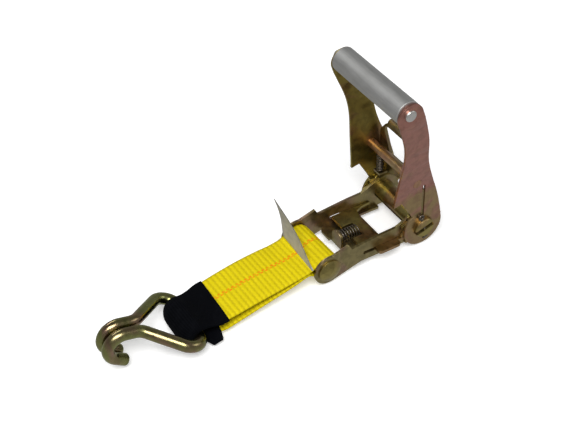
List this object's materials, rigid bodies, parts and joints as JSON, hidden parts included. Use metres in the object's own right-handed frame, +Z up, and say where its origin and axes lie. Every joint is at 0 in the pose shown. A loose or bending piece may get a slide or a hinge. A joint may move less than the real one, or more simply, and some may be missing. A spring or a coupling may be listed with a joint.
{
  "type": "ratchet tie down",
  "caption": "Ratchet buckle with raised handle, sprung pawls and slotted spindle, on a short looped strap with a wear sleeve and a double J hook.",
  "frame": {"origin": "spindle axis at mid width, in the middle of the webbing slot", "axes": "+Z up from the surface the part rests on, +X from the hook towards the ratchet, +Y along the spindle"},
  "size_m": [0.3249, 0.1053, 0.1802],
  "materials": {
    "zinc_steel": "yellow zinc plated steel, olive gold with brown and mauve patches",
    "bright_steel": "plain bright zinc plated steel",
    "spring_steel": "dark spring wire",
    "grip_aluminium": "satin aluminium tube",
    "plug_plastic": "black plastic bush",
    "yellow_webbing": "ribbed yellow polyester webbing with an orange red tracer thread",
    "black_sleeve": "matt black woven sleeve",
    "label_cloth": "thin white label cloth, blank"
  },
  "bodies": {
    "frame": {"base_frame": "zinc_steel", "webbing_bolt": "zinc_steel", "bolt_spacer": "zinc_steel", "bolt_washer": "zinc_steel", "bolt_cap": "zinc_steel", "base_pawl_spring": "spring_steel"},
    "base_pawl": {"base_pawl": "zinc_steel"},
    "spindle": {"spindle_half_upper": "zinc_steel", "spindle_half_lower": "zinc_steel", "ratchet_wheel_left": "zinc_steel", "ratchet_wheel_right": "zinc_steel", "cotter_pin_left": "bright_steel", "cotter_pin_right": "bright_steel"},
    "handle": {"handle_plate_left": "zinc_steel", "handle_plate_right": "zinc_steel", "grip_tube": "grip_aluminium", "grip_plug_left": "plug_plastic", "grip_plug_right": "plug_plastic", "grip_bolt": "bright_steel", "grip_nut": "bright_steel", "cross_rod": "zinc_steel", "drive_spring_left": "spring_steel", "drive_spring_right": "spring_steel"},
    "drive_pawl": {"drive_pawl": "zinc_steel"},
    "strap": {"strap_webbing": "yellow_webbing", "wear_sleeve": "black_sleeve", "label_flap": "label_cloth"},
    "hook": {"double_j_hook": "zinc_steel"}
  },
  "joints": [
    {"name": "handle_swing", "type": "hinge", "parent": "frame", "child": "handle", "pos_m": [0, 0, 0], "axis": [0, 1, 0], "range_deg": [-51, 99]},
    {"name": "spindle_spin", "type": "hinge", "parent": "frame", "child": "spindle", "pos_m": [0, 0, 0], "axis": [0, 1, 0], "continuous": true},
    {"name": "drive_pawl_slide", "type": "slide", "parent": "handle", "child": "drive_pawl", "axis": [0.0096, 0, 1], "range_m": [0, 0.005], "stiffness_N_per_m": 900, "springref_m": -0.008, "deforming": ["drive_spring_left", "drive_spring_right"]},
    {"name": "base_pawl_slide", "type": "slide", "parent": "frame", "child": "base_pawl", "axis": [-0.998, 0, 0.0628], "range_m": [0, 0.006], "stiffness_N_per_m": 700, "springref_m": -0.008, "deforming": ["base_pawl_spring"]},
    {"name": "strap_pivot", "type": "hinge", "parent": "frame", "child": "strap", "pos_m": [-0.09603, 0, -0.00548], "axis": [0, 1, 0], "range_deg": [-90, 45]},
    {"name": "hook_swivel", "type": "hinge", "parent": "strap", "child": "hook", "pos_m": [-0.22375, -0.00753, -0.00986], "axis": [0.0183, 0.9998, 0.0025], "range_deg": [-75, 45]}
  ]
}
